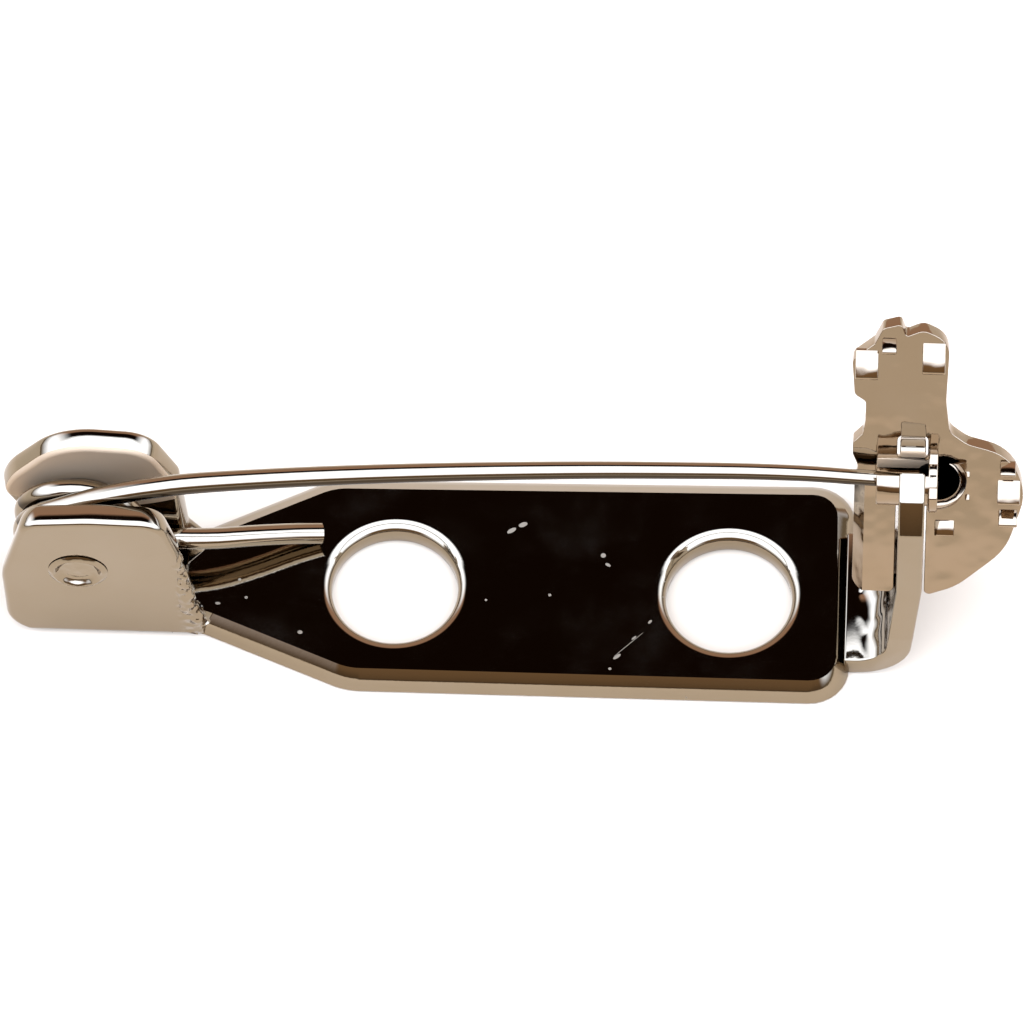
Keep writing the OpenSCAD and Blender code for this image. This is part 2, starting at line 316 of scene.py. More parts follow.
@dataclass(frozen=True)
class NickelPlate:
    """Bright nickel over steel, plated in a barrel: a warm mirror with fine specks and rubs, and painted sheen
    and shade where asked.

    Attributes:
        name: what the material is.
        tint: sRGB hex colour of the metal.
        gloss: roughness of the clean metal.
        haze: roughness of the rubbed places.
        wave_mm: spacing of the slow waves in the sheet.
        wave: strength of those waves.
        speck_mm: spacing of the specks.
        speck_reach: a speck's radius as a share of that spacing.
        speck_share: how many of the places for a speck have one, from 0 to 1.
        grain: strength of the fine grain left by tumbling.
        shade: how much painted shade darkens the metal where it doesn't face up, from 0 to 1.
        shade_over_mm: height over which it does so.
        nicks: marks at given places of the plate's top.
        shaded_hollows: hollows darkened with painted shade.
        crumples: places where folding and bending creased the sheet.
        rubs_and_sheen: faces that shearing and tumbling left satin, given a lighter colour as painted sheen.
    """

    name: str
    tint: str = "918370"
    gloss: float = 0.04
    haze: float = 0.12
    wave_mm: float = 2.2
    wave: float = 0.05
    speck_mm: float = 0.5
    speck_reach: float = 0.06
    speck_share: float = 0.12
    grain: float = 0.05
    shade: float = 0.0
    shade_over_mm: float = 3.0
    nicks: tuple[Zone, ...] = ()
    shaded_hollows: tuple[Zone, ...] = ()
    crumples: tuple[Crumple, ...] = ()
    rubs_and_sheen: tuple[Zone, ...] = ()

    def build(self) -> bpy.types.Material:
        """Makes the material.

        Returns:
            The material, with its nodes.
        """
        material, tree = new_material(self.name)
        # slow waves that rolling and stamping leave in thin sheet
        waves = tree.noise(self.wave_mm, 2.0, 0.45)
        # tumbling grain, finer than a tenth of a millimetre
        grain = tree.noise(0.09, 3.0, 0.6)
        # rubbed patches, where the mirror turns a little hazy
        patches = tree.noise(1.3, 5.0, 0.62)
        hazy = tree.span(patches, (0.45, 0.75), (self.gloss, self.haze))
        marks = self.specks(tree)
        for mark in self.nicks:
            marks = tree.math("MAXIMUM", marks, mark.inside(tree))
        rough = tree.add("ShaderNodeMix", {"data_type": "FLOAT", "Factor": marks, 2: hazy, 3: MARK_ROUGHNESS})
        roughness = rough.outputs[0]
        warm = linear(self.tint)
        colour = tree.mix(patches, warm, tuple(part * kept for part, kept in zip(warm, STAIN)))
        for rub_and_sheen in self.rubs_and_sheen:
            # a satin face spreads the light; its lighter, warmer colour is painted sheen
            satin_and_sheen = rub_and_sheen.inside(tree)
            roughness = tree.math("MAXIMUM", roughness, tree.math("MULTIPLY", satin_and_sheen, SATIN_ROUGHNESS))
            colour = tree.mix(satin_and_sheen, colour, linear(SATIN_SHEEN))
        # painted shade: above a given height, sides that turn away from the light overhead are darkened
        if self.shade:
            facing = tree.add("ShaderNodeSeparateXYZ", {0: tree.at["Normal"]}).outputs["Z"]
            height = tree.add("ShaderNodeSeparateXYZ", {0: tree.at["Object"]}).outputs["Z"]
            high = tree.math("GREATER_THAN", height, self.shade_over_mm * MM)
            turned_away = tree.span(facing, (0.3, 0.62), (self.shade, 0.0), smooth=True)
            colour = tree.mix(tree.math("MULTIPLY", turned_away, high), colour, linear(UNLIT))
        # painted shade: the hollows are given a dark colour where little light reaches
        for shaded_hollow in self.shaded_hollows:
            colour = tree.mix(shaded_hollow.inside(tree), colour, linear(HOLLOW_SHADE))
        normal = tree.bump(self.wave, 0.2, waves)
        for crumple in self.crumples:
            normal = crumple.bump(tree, normal)
        normal = tree.bump(self.grain, 0.01, grain, normal)
        tree.surface({"Metallic": 1.0, "Base Color": colour, "Roughness": roughness, "Normal": normal})
        return material

    def specks(self, tree: Tree) -> Socket:
        """Scatters pits and dust under the plating.

        Args:
            tree: the material's tree.

        Returns:
            A mask that is 1 on the specks.
        """
        pattern = {"Vector": tree.at["Object"], "Scale": 1 / (self.speck_mm * MM)}
        cells = tree.add("ShaderNodeTexVoronoi", pattern).outputs
        lot = tree.add("ShaderNodeSeparateColor", {"Color": cells["Color"]}).outputs[0]
        near = tree.math("LESS_THAN", cells["Distance"], self.speck_reach)
        return tree.math("MULTIPLY", near, tree.math("LESS_THAN", lot, self.speck_share))


# each nick's place along and across the bar, half its length and width, and its turn
PLATE_NICKS = tuple(
    nick(*row)
    for row in (
        (-1.04, 1.28, 0.1, 0.045, 35.0), (-0.82, 1.42, 0.09, 0.05, 25.0), (0.79, 0.77, 0.05, 0.05, 0.0),
        (0.89, 0.56, 0.06, 0.03, -30.0), (-0.23, -0.16, 0.03, 0.03, 0.0), (-1.48, -0.31, 0.025, 0.025, 0.0),
        (1.76, -0.7, 0.05, 0.025, 50.0), (1.46, -1.07, 0.06, 0.02, 45.0), (1.14, -1.5, 0.09, 0.035, 40.0),
        (1.36, -1.22, 0.4, 0.006, 45.0), (-5.1, -1.15, 0.05, 0.04, 0.0), (-6.75, -0.55, 0.05, 0.03, 0.0),
        (-6.35, 0.0, 0.03, 0.03, 0.0), (-6.2, -0.4, 0.03, 0.03, 0.0),
    )
)
# the near ear's folded edge, and the neck under the post
FOLD_CREASES = (
    Crumple(Zone((-7.22, -0.95, 1.5), (0.34, 0.6, 2.3)), 0.17, 0.09),
    Crumple(Zone((6.1, 0.0, 0.6), (0.38, 1.7, 0.6)), 0.45, 0.08),
)
# the far ear's inner face, and one flank of the post's slot: satin, with a painted sheen
PLATE_RUBS_AND_SHEEN = (Zone((-9.2, 0.6, 3.6), (2.4, 0.1, 1.4)), Zone((6.8, 0.18, 5.6), (0.4, 0.05, 0.4)))
# the cup's inside, darkened with painted shade, and one flank of the barrel's slot, satin with a painted sheen
ROTOR_SHADED_HOLLOWS = (Zone((7.3, 0.0, 5.12), (0.43, 0.43, 0.43)),)
ROTOR_RUBS_AND_SHEEN = (Zone((6.6, 0.18, 5.4), (0.6, 0.05, 0.3)),)


# Modelling

# how far the catch's flat top slopes to the front, in degrees
TOP_SLOPE = 20
CUT = "DIFFERENCE"


def rounded(rows: list[Row], steps: int = 8) -> list[Point]:
    """Rounds the corners of an outline.

    Args:
        rows: corners as x, y and the rounding's radius in mm.
        steps: sides of each rounding.

    Returns:
        The outline's points in mm.
    """
    points: list[Point] = []
    for index, (x, y, radius) in enumerate(rows):
        spot = Vector((x, y))
        if radius == 0:
            points.append((x, y))
            continue
        before = (Vector(rows[index - 1][:2]) - spot).normalized()
        after = (Vector(rows[(index + 1) % len(rows)][:2]) - spot).normalized()
        half = before.angle(after) / 2
        middle = spot + (before + after).normalized() * (radius / math.sin(half))
        back = radius / math.tan(half)
        start, end = spot + before * back - middle, spot + after * back - middle
        first = math.atan2(start.y, start.x)
        turn = (math.atan2(end.y, end.x) - first + math.pi) % (2 * math.pi) - math.pi
        for step in range(steps + 1):
            angle = first + turn * step / steps
            points.append((middle.x + radius * math.cos(angle), middle.y + radius * math.sin(angle)))
    return points


def steps_of_turn(steps: int) -> list[float]:
    """Angles of a full turn in radians, in even steps."""
    return [2 * math.pi * k / steps for k in range(steps)]


def pick(*objects: Piece) -> None:
    """Selects these objects alone and makes the first one active."""
    bpy.ops.object.select_all(action="DESELECT")
    for obj in objects:
        obj.select_set(True)
    bpy.context.view_layer.objects.active = objects[0]


@contextmanager
def whole_mesh() -> Iterator[None]:
    """Edits the selected mesh with all of it selected."""
    bpy.ops.object.mode_set(mode="EDIT")
    bpy.ops.mesh.select_all(action="SELECT")
    yield
    bpy.ops.object.mode_set(mode="OBJECT")


def settled(name: str) -> Piece:
    """Names the object that was just added, puts its place into its mesh and turns its faces outwards.

    Args:
        name: the object's name.

    Returns:
        The object.
    """
    piece = bpy.context.view_layer.objects.active
    piece.name = name
    pick(piece)
    bpy.ops.object.transform_apply(location=True, rotation=True, scale=True)
    with whole_mesh():
        bpy.ops.mesh.normals_make_consistent(inside=False)
    return piece


def stand_along(x: float, z: float, y: float) -> Row:
    """An outline that stands along the bar."""
    return (x, y, z)


def stand_across(y: float, z: float, x: float) -> Row:
    """An outline that stands across the bar."""
    return (x, y, z)


def slab(name: str, outline: list[Point], low: float, high: float, place: Place) -> Piece:
    """Cuts a flat shape out of sheet.

    Args:
        name: the shape's name.
        outline: its outline in mm.
        low: where the sheet's lower face is, in mm.
        high: where its upper face is, in mm.
        place: how the outline stands.

    Returns:
        The shape.
    """
    bpy.ops.mesh.primitive_circle_add(vertices=len(outline), radius=MM, fill_type="NGON")
    piece = bpy.context.object
    for vertex, (u, v) in zip(piece.data.vertices, outline):
        vertex.co = Vector(place(u, v, low)) * MM
    rise = Vector(place(0, 0, high)) - Vector(place(0, 0, low))
    with whole_mesh():
        bpy.ops.mesh.extrude_region_move(TRANSFORM_OT_translate={"value": rise * MM})
    return settled(name)


def rod(name: str, radius: float, start: Row, end: Row, sides: int = 96) -> Piece:
    """Adds a round bar from one point to another, in mm."""
    first, last = Vector(start) * MM, Vector(end) * MM
    bpy.ops.mesh.primitive_cylinder_add(
        vertices=sides,
        radius=radius * MM,
        depth=(last - first).length,
        location=(first + last) / 2,
        rotation=(last - first).to_track_quat("Z", "Y").to_euler(),
    )
    return settled(name)


def block(name: str, low: Row, high: Row) -> Piece:
    """Adds a square block between two corners, in mm."""
    first, last = Vector(low) * MM, Vector(high) * MM
    bpy.ops.mesh.primitive_cube_add(size=1, location=(first + last) / 2, scale=last - first)
    return settled(name)


def ball(name: str, radius: float, middle: Row) -> Piece:
    """Adds a ball round a point, in mm."""
    bpy.ops.mesh.primitive_uv_sphere_add(
        segments=64, ring_count=32, radius=radius * MM, location=Vector(middle) * MM
    )
    return settled(name)


def combine(piece: Piece, tool: Piece, operation: str) -> None:
    """Cuts, joins or trims a piece with a tool, which is used up.

    Args:
        piece: the piece.
        tool: the tool.
        operation: the boolean's name in Blender.
    """
    pick(piece)
    bpy.ops.object.modifier_add(type="BOOLEAN")
    cut = piece.modifiers[-1]
    cut.operation = operation
    cut.solver = "EXACT"
    cut.object = tool
    bpy.ops.object.modifier_apply(modifier=cut.name)
    bpy.data.objects.remove(tool)


def round_edges(
    piece: Piece,
    width: float,
    segments: int,
    flattest: float = 30.0,
    chosen: Callable[[Vector, Vector], bool] = lambda a, b: True,
) -> None:
    """Rounds a piece's edges, or those that a test picks by their two ends.

    Args:
        piece: the piece.
        width: how far the rounding reaches from the edge, in mm.
        segments: faces across the rounding.
        flattest: edges flatter than this many degrees are left alone.
        chosen: says from an edge's ends in mm whether it is rounded.
    """
    pick(piece)
    bpy.ops.object.mode_set(mode="EDIT")
    bpy.ops.mesh.select_mode(type="EDGE")
    bpy.ops.mesh.select_all(action="DESELECT")
    bpy.ops.mesh.edges_select_sharp(sharpness=math.radians(flattest))
    bpy.ops.object.mode_set(mode="OBJECT")
    spots = [v.co / MM for v in piece.data.vertices]
    for edge in piece.data.edges:
        edge.select = edge.select and chosen(*(spots[i] for i in edge.vertices))
    bpy.ops.object.mode_set(mode="EDIT")
    bpy.ops.mesh.bevel(
        offset=width * MM, offset_type="OFFSET", segments=segments, profile=0.5, clamp_overlap=False
    )
    bpy.ops.object.mode_set(mode="OBJECT")


def join(name: str, parts: list[Piece]) -> Piece:
    """Joins parts of one stamping or casting into one piece.

    Args:
        name: the piece's name.
        parts: its parts.

    Returns:
        The piece.
    """
    pick(*parts)
    bpy.ops.object.join()
    parts[0].name = name
    return parts[0]


def finished(piece: Piece) -> Piece:
    """Names a piece's mesh, smooths its shading and keeps its flat faces flat.

    Args:
        piece: the piece.

    Returns:
        The same piece.
    """
    piece.data.name = piece.name
    pick(piece)
    bpy.ops.object.shade_smooth_by_angle(angle=math.radians(38))
    bpy.ops.object.modifier_add(type="WEIGHTED_NORMAL")
    even = piece.modifiers[-1]
    even.keep_sharp = True
    even.weight = 90
    bpy.ops.object.modifier_apply(modifier=even.name)
    return piece


def loft(name: str, rings: list[list[Row]]) -> Piece:
    """Draws a skin over rings of points, such as the steps of a rolled edge or of a bent wire.

    Flat faces close the two ends.

    Args:
        name: the shape's name.
        rings: rings of equally many points in mm, from one end to the other.

    Returns:
        The shape.
    """
    around = len(rings[0])
    bpy.ops.mesh.primitive_grid_add(x_subdivisions=around, y_subdivisions=len(rings) - 1, size=MM)
    piece = bpy.context.object
    for row, ring in enumerate(rings):
        for column in range(around + 1):
            spot = ring[column % around]
            piece.data.vertices[row * (around + 1) + column].co = Vector(spot) * MM
    with whole_mesh():
        bpy.ops.mesh.remove_doubles(threshold=0.0001 * MM)
        bpy.ops.mesh.fill_holes(sides=0)
    return settled(name)


def drawn_in(outline: list[Point], by: float) -> list[Point]:
    """Moves an outline inwards.

    Args:
        outline: points in mm, anticlockwise.
        by: the distance in mm.

    Returns:
        The smaller outline, point for point.
    """
    moved = []
    for index, (x, y) in enumerate(outline):
        spot = Vector((x, y))
        before = (spot - Vector(outline[index - 1])).normalized()
        after = (Vector(outline[(index + 1) % len(outline)]) - spot).normalized()
        inward = Vector((-before.y - after.y, before.x + after.x)).normalized()
        stretch = max(0.4, inward.dot(Vector((-before.y, before.x))))
        moved.append(tuple(spot + inward * (by / stretch)))
    return moved


def sloped_top(span: Point, axis: float, flat: float, half: float) -> Piece:
    """Builds the tool that leaves a flat, sloping to the front, on a round top.

    Args:
        span: where the tool starts and ends along the bar, in mm.
        axis: height of the round top's axis in mm.
        flat: distance from the axis to the flat in mm.
        half: half the flat's reach across, in mm.

    Returns:
        The tool.
    """
    tilt, deep = math.radians(TOP_SLOPE), 0.3
    corners = [(-half, flat), (half, flat), (half, flat + deep), (-half, flat + deep)]
    turned = []
    for u, v in corners:
        turned.append((u * math.cos(tilt) - v * math.sin(tilt), axis + u * math.sin(tilt) + v * math.cos(tilt)))
    return slab("slope", turned, *span, stand_across)


def rolled(radius: float) -> list[Point]:
    """Steps of a rolled edge, as how far it draws in and how far it has come from the sheet's face."""
    quarter = [math.radians(a) for a in (0, 15, 30, 45, 60, 75, 90)]
    return [(radius * (1 - math.sin(a)), radius * (1 - math.cos(a))) for a in quarter]


def sheet_blank(name: str, outline: list[Point], low: float, high: float, roll: float, place: Place) -> Piece:
    """Cuts a flat shape out of sheet, with both edges of its rim rolled round.

    Args:
        name: the shape's name.
        outline: its outline in mm, anticlockwise.
        low: where the sheet's lower face is, in mm.
        high: where its upper face is, in mm.
        roll: radius of the rolled edges in mm.
        place: how the outline stands.

    Returns:
        The shape.
    """
    steps = [(by, low + up) for by, up in rolled(roll)] + [(by, high - up) for by, up in rolled(roll)[::-1]]
    rings = [[place(u, v, height) for u, v in drawn_in(outline, by)] for by, height in steps]
    return loft(name, rings)


# The pieces

# sizes that several pieces share, in mm
SHEET = 0.5
RIVET_X, RIVET_Z = -9.37, 2.5
EAR_GAP = 1.14
# how far the whole hinge stands off the middle, to the far side
HINGE_SHIFT = 0.03
ROTOR_Z = 5.12
SLOT = 0.36


@dataclass
class BasePlate:
    """The stamping: bar, sewing holes, folded ears and the catch's post. Sizes are in mm."""

    half_width: float = 2.32
    shift: float = 0.13
    flare: float = 0.16
    catch_end: float = 5.7
    taper_near: float = 4.18
    taper_far: float = 4.66
    corner: float = 0.8
    hole_pitch: float = 6.58
    hole_radius: float = 1.24
    hole_roll: float = 0.24
    rivet_hole: float = 0.45
    near_height: float = 4.32
    far_height: float = 4.5
    ear_right: float = -7.38
    fold: float = 0.22
    post_x: float = 6.56
    post_foot: float = 2.9
    post_set_in: float = 0.16
    shoulder: float = 1.14
    shoulder_drop: float = 0.24
    roof_angle: float = 57.0
    bend: float = 0.6
    head_radius: float = 0.82
    bore: float = 0.54

    def bar(self) -> Piece:
        """Builds the flat bar: a sheared wall, a sloping shoulder and a flat top, with two rolled holes.

        Returns:
            The bar.
        """
        ear_out = EAR_GAP / 2 + SHEET
        near_y, far_y = ear_out - HINGE_SHIFT - 0.06, ear_out + HINGE_SHIFT - 0.06
        outline = rounded(
            [
                (self.ear_right - 0.3, -near_y, 0),
                (self.ear_right + 0.3, -near_y, 0.6),
                (-self.taper_near, self.shift - self.half_width, 1.5),
                (self.catch_end, self.shift - self.half_width, self.corner),
                (self.catch_end, self.shift + self.half_width + self.flare, self.corner),
                (-self.taper_far, self.shift + self.half_width, 1.5),
                (self.ear_right + 0.3, far_y + 0.2, 0.3),
                (self.ear_right - 0.3, far_y, 0),
            ]
        )
        # how far shearing left the near and the far edge drawn in, or out where below 0, at each height
        section = (
            (0.05, 0.0, 0.0), (0.015, -0.04, 0.03), (0.03, -0.05, 0.08), (0.055, -0.05, 0.155),
            (0.09, -0.01, 0.24), (0.14, 0.115, 0.34), (0.27, 0.315, SHEET),
        )
        rings = []
        for near_by, far_by, height in section:
            ring = []
            for near, far in zip(drawn_in(outline, near_by), drawn_in(outline, far_by)):
                share = min(1.0, max(0.0, 0.5 + (near[1] - self.shift) / self.half_width))
                ring.append((*Vector(near).lerp(Vector(far), share), height))
            rings.append(ring)
        piece = loft("bar", rings)
        for side in (-1, 1):
            spot = side * self.hole_pitch / 2
            combine(piece, rod("punch", self.hole_radius, (spot, 0, -1), (spot, 0, 2), 128), CUT)

        def on_rim(a: Vector, b: Vector, height: float) -> bool:
            """Whether an edge lies on a hole's rim at a height."""
            far = min(math.hypot(a.x - s * self.hole_pitch / 2, a.y) for s in (-1, 1))
            return far < self.hole_radius + 0.02 and abs(a.z - height) < 0.01 and abs(b.z - height) < 0.01

        round_edges(piece, self.hole_roll, 8, chosen=lambda a, b: on_rim(a, b, SHEET))
        round_edges(piece, 0.06, 2, chosen=lambda a, b: on_rim(a, b, 0.0))
        # the underside stays flat
        for vertex in piece.data.vertices:
            vertex.co.z = max(vertex.co.z, 0.0)
        return piece

    def crown(self, side: int) -> list[Point]:
        """Draws the edge of an ear across the sheet, as the press and the tumbling left it.

        Args:
            side: -1 for the near ear and 1 for the far one.

        Returns:
            How far the outline draws in, and where in the sheet, from the outer face to the inner one.
        """
        inner, outer = EAR_GAP / 2, EAR_GAP / 2 + SHEET
        steps = [(by, outer - deep) for by, deep in rolled(0.12)]
        if side < 0:
            # the near ear's edge falls away evenly towards the inner face
            arc, start = 0.75, outer - 0.13
            for y in (outer - self.fold, inner + 0.22, inner + 0.16, inner + 0.1, inner + 0.05, inner + 0.02):
                steps.append((arc - math.sqrt(arc**2 - (start - y) ** 2), y))
            return [*steps, (steps[-1][0] + 0.02, inner)]
        # the far ear's edge slopes a little towards the inner face, then turns into it
        steps.append((0.0, outer - self.fold))
        tilt, turn = math.radians(13), 0.1
        high = inner + turn * (1 - math.sin(tilt))
        start = math.tan(tilt) * (outer - self.fold - high)
        for k in range(7):
            a = tilt + (math.pi / 2 - tilt) * k / 6
            steps.append((start + turn * (math.cos(tilt) - math.cos(a)), inner + turn * (1 - math.sin(a))))
        return steps

    def ear(self, side: int) -> Piece:
        """Builds one ear, folded up out of the bar.

        Args:
            side: -1 for the near ear and 1 for the far one.

        Returns:
            The ear.
        """
        foot = [
            (self.ear_right, 1.1, 0.5),
            (self.ear_right + 0.4, 0.45, 0.2),
            (self.ear_right + 0.4, 0.0, 0),
        ]
        near, far = self.near_height, self.far_height
        shapes = {
            -1: [
                (-10.86, -0.02, 0.8), (-10.89, 2.2, 1.5), (-10.38, near - 0.1, 0.5), (-9.1, near + 0.03, 2.5),
                (-7.66, near - 0.02, 0.6), (self.ear_right, near - 1.2, 0.8),
            ],
            1: [
                (-10.72, -0.02, 0.7), (-10.5, 1.6, 0.6), (-10.97, 2.7, 0.5), (-10.8, far - 1.3, 1.5),
                (-9.78, far - 0.02, 1.4), (-8.0, far - 0.17, 0.8), (self.ear_right - 0.1, far - 1.45, 0.6),
            ],
        }
        outline = rounded(shapes[side] + foot, 14)[::-1]
        outer = EAR_GAP / 2 + SHEET
        rings = []
        for by, y in self.crown(side):
            deep = max(0.0, y - (outer - self.fold))
            lowest = self.fold - math.sqrt(max(0.0, self.fold**2 - deep**2))
            rings.append([(x, side * y + HINGE_SHIFT, max(z, lowest)) for x, z in drawn_in(outline, by)])
        piece = loft("ear", rings)
        ends = ((RIVET_X, -3, RIVET_Z), (RIVET_X, 3, RIVET_Z))
        combine(piece, rod("drill", self.rivet_hole, *ends, 64), CUT)
        return piece

    def crease(self) -> Piece:
        """Builds the crumpled web that the fold left at the near ear's right edge.

        Returns:
            The web.
        """
        line = [
            Vector(p)
            for p in (
                (-7.56, -0.86, 3.3), (-7.5, -0.88, 2.7), (-7.42, -0.9, 2.1), (-7.34, -0.92, 1.5),
                (-7.27, -0.93, 0.9), (-7.14, -0.9, 0.42), (-7.0, -0.86, 0.3),
            )
        ]
        rings = []
        steps, around, half_wide, half_deep = 42, 20, 0.2, 0.14
        for k in range(steps + 1):
            share = k / steps * (len(line) - 1)
            low = min(int(share), len(line) - 2)
            spot = line[low].lerp(line[low + 1], share - low)
            ends = min(1.0, 0.25 + min(k, steps - k) / 6)
            ring = []
            for a in steps_of_turn(around):
                lumps = 1 + 0.1 * math.sin(0.7 * k + 2 * a) + 0.06 * math.sin(1.5 * k - 3 * a)
                reach = ends * (lumps + 0.08 * math.sin(0.45 * k + a))
                across, deep = half_wide * reach * math.cos(a), half_deep * reach * math.sin(a)
                ring.append((spot.x + across, spot.y + deep, spot.z))
            rings.append(ring)
        return loft("crease", rings)

    def post(self) -> Piece:
        """Builds the neck, the bend and the post with its slotted head.

        Returns:
            The post.
        """
        low_r, out_r, out_x = self.bend, self.bend + SHEET, self.post_x + SHEET
        middle = self.post_x - self.post_set_in - low_r
        swing = [math.radians(a) for a in range(0, 91, 9)]
        # the side is drawn up to well over the head, and the front's outline then trims it
        over, straight_from = 7.0, 3.0
        side = [(self.catch_end - 0.12, 0.0)]
        side += [(middle + out_r * math.sin(a), out_r - out_r * math.cos(a)) for a in swing]
        side += [(out_x, straight_from), (out_x, over), (self.post_x, over), (self.post_x, straight_from)]
        side += [(middle + low_r * math.sin(a), out_r - low_r * math.cos(a)) for a in reversed(swing)]
        side += [(self.catch_end - 0.12, SHEET)]
        piece = slab("post", side, -3, 3, stand_along)
        half, axis, roof = self.post_foot / 2, ROTOR_Z, math.radians(self.roof_angle)
        taper = [
            (half, -0.1, 0), (half, 1.4, 1), (self.shoulder, axis - self.shoulder_drop, 0.12),
            (self.head_radius * math.sin(roof), axis + self.head_radius * math.cos(roof), 0),
        ]
        front = slab("front", rounded(taper + [(-y, z, r) for y, z, r in reversed(taper)]), 4, 9, stand_across)
        combine(front, rod("head", self.head_radius, (4.5, 0, axis), (8.5, 0, axis)), "UNION")
        combine(front, rod("drill", self.bore, (3, 0, axis), (10, 0, axis)), CUT)
        combine(front, block("slot", (3, -SLOT / 2, axis), (10, SLOT / 2, 8)), CUT)
        combine(front, sloped_top((3, 10), axis, self.bore + 0.08, self.head_radius), CUT)
        combine(piece, front, "INTERSECT")
        round_edges(piece, 0.05, 3)
        return piece

    def build(self) -> Piece:
        """Builds the stamping.

        Returns:
            The piece.
        """
        ear_out = EAR_GAP / 2 + SHEET
        floor = block(
            "floor",
            (-10.3, HINGE_SHIFT - ear_out + 0.1, 0.01),
            (self.ear_right + 0.2, HINGE_SHIFT + ear_out - 0.1, SHEET - 0.01),
        )
        parts = [self.bar(), self.ear(-1), self.ear(1), floor, self.crease(), self.post()]
        return finished(join("base_plate_stamping", parts))


@dataclass
class HingeRivet:
    """The rivet that carries the coil, with its staked ends. Sizes are in mm."""

    barrel: float = 0.85
    shank: float = 0.43
    head: float = 0.58
    head_thick: float = 0.07
    sides: int = 72

    def build(self) -> Piece:
        """Turns the rivet.

        Returns:
            The piece.
        """
        barrel_half = EAR_GAP / 2 - 0.03
        head_in = EAR_GAP / 2 + SHEET + 0.01
        head_out = head_in + self.head_thick
        half = [
            (self.barrel, barrel_half - 0.04), (self.barrel - 0.04, barrel_half), (self.shank, barrel_half),
            (self.shank, head_in), (self.head - 0.01, head_in), (self.head, head_in + 0.01),
            (self.head - 0.03, head_in + 0.035),
        ]
        # the rim and the dish that staking left, as steps inwards and down
        dish = ((0.07, 0.01), (0.1, 0), (0.13, 0.015), (0.16, 0.045), (0.19, 0.08), (0.23, 0.11), (0.28, 0.12))
        half += [(self.head - by, head_out - down) for by, down in dish] + [(0.1, head_out - 0.1)]
        profile = [(r, -y) for r, y in reversed(half)] + half
        rings = []
        for r, y in profile:
            ring = []
            for a in steps_of_turn(self.sides):
                ring.append((RIVET_X + r * math.cos(a), y + HINGE_SHIFT, RIVET_Z + r * math.sin(a)))
            rings.append(ring)
        return finished(loft("hinge_rivet_staked", rings))


@dataclass
class PinWire:
    """The spring wire: tail, one coil on the rivet, and the stem that tapers to the point. Sizes are in mm."""

    thick: float = 0.42
    coil: float = 1.12
    coil_from: float = 266.0
    coil_to: float = -243.0
    coil_start_y: float = 0.305
    coil_end_y: float = -0.295
    end_radius: float = 0.15
    point_from: float = 6.3
    point: float = 7.08
    step: float = 0.22
    sides: int = 28

    def radius(self, x: float) -> float:
        """The stem's radius at a place along the bar."""
        full = self.thick / 2
        if x > self.point_from:
            return max(0.02, self.end_radius * (self.point - x) / (self.point - self.point_from))
        return full + (self.end_radius - full) * max(0.0, (x + 8) / (self.point_from + 8))

    def path(self) -> list[tuple[Vector, float]]:
        """The wire's middle line.

        Returns:
            Places in mm with the wire's radius at each.
        """
        full = self.thick / 2
        tail = [
            (-4.78, 0.93, 0.74), (-5.3, 0.82, 0.89), (-5.9, 0.66, 1.08), (-6.4, 0.53, 1.21),
            (-6.8, 0.44, 1.29), (-7.3, 0.375, 1.36), (-7.9, 0.35, 1.39), (-8.6, 0.33, 1.39),
        ]
        stem = [
            (-9.3, -0.27, 3.79), (-8.85, -0.26, 4.02), (-8.4, -0.25, 4.2), (-7.8, -0.24, 4.4),
            (-6.94, -0.22, 4.6), (-5, -0.18, 4.87), (-3.06, -0.14, 5.06), (-1.13, -0.1, 5.19),
            (0.8, -0.06, 5.27), (2.72, -0.03, 5.3),
            (3.8, -0.01, 5.29), (4.8, 0, 5.25), (5.6, 0, 5.18), (6.1, 0, 5.14), (6.5, 0, 5.12), (6.8, 0, 5.12),
            (7.0, 0, 5.12), (self.point, 0, 5.12),
        ]
        places = [(Vector((x, y + HINGE_SHIFT, z)), full) for x, y, z in tail]
        turns = 60
        for step in range(turns + 1):
            share = step / turns
            angle = math.radians(self.coil_from + (self.coil_to - self.coil_from) * share)
            y = self.coil_start_y + (self.coil_end_y - self.coil_start_y) * share + HINGE_SHIFT
            x, z = RIVET_X + self.coil * math.cos(angle), RIVET_Z + self.coil * math.sin(angle)
            places.append((Vector((x, y, z)), full))
        for x, y, z in stem:
            places.append((Vector((x, y + HINGE_SHIFT * max(0.0, -x / 9), z)), self.radius(x)))
        return places

    def smooth_path(self) -> list[tuple[Vector, float]]:
        """The middle line with soft curves between its places, except at the point."""
        places = self.path()
        fine = []
        for index in range(len(places) - 1):
            a, b = places[index], places[index + 1]
            before, after = places[max(0, index - 1)], places[min(len(places) - 1, index + 2)]
            steps = max(1, round((b[0] - a[0]).length / self.step))
            for step in range(steps):
                t = step / steps
                spot = 0.5 * (
                    2 * a[0]
                    + (b[0] - before[0]) * t
                    + (2 * before[0] - 5 * a[0] + 4 * b[0] - after[0]) * t**2
                    + (3 * a[0] - before[0] - 3 * b[0] + after[0]) * t**3
                )
                fine.append((spot, a[1] + (b[1] - a[1]) * t))
        return fine + [places[-1]]

    def build(self) -> Piece:
        """Draws and bends the wire.

        Returns:
            The piece.
        """
        line = self.smooth_path()
        rings = []
        for index, (spot, radius) in enumerate(line):
            ahead = (line[min(index + 1, len(line) - 1)][0] - line[max(index - 1, 0)][0]).normalized()
            across = ahead.cross(Vector((0, 1, 0))).normalized()
            side = across.cross(ahead)
            ring = []
            for a in steps_of_turn(self.sides):
                ring.append(tuple(spot + radius * (across * math.cos(a) + side * math.sin(a))))
            rings.append(ring)
        return finished(loft("pin_wire_drawn", rings))


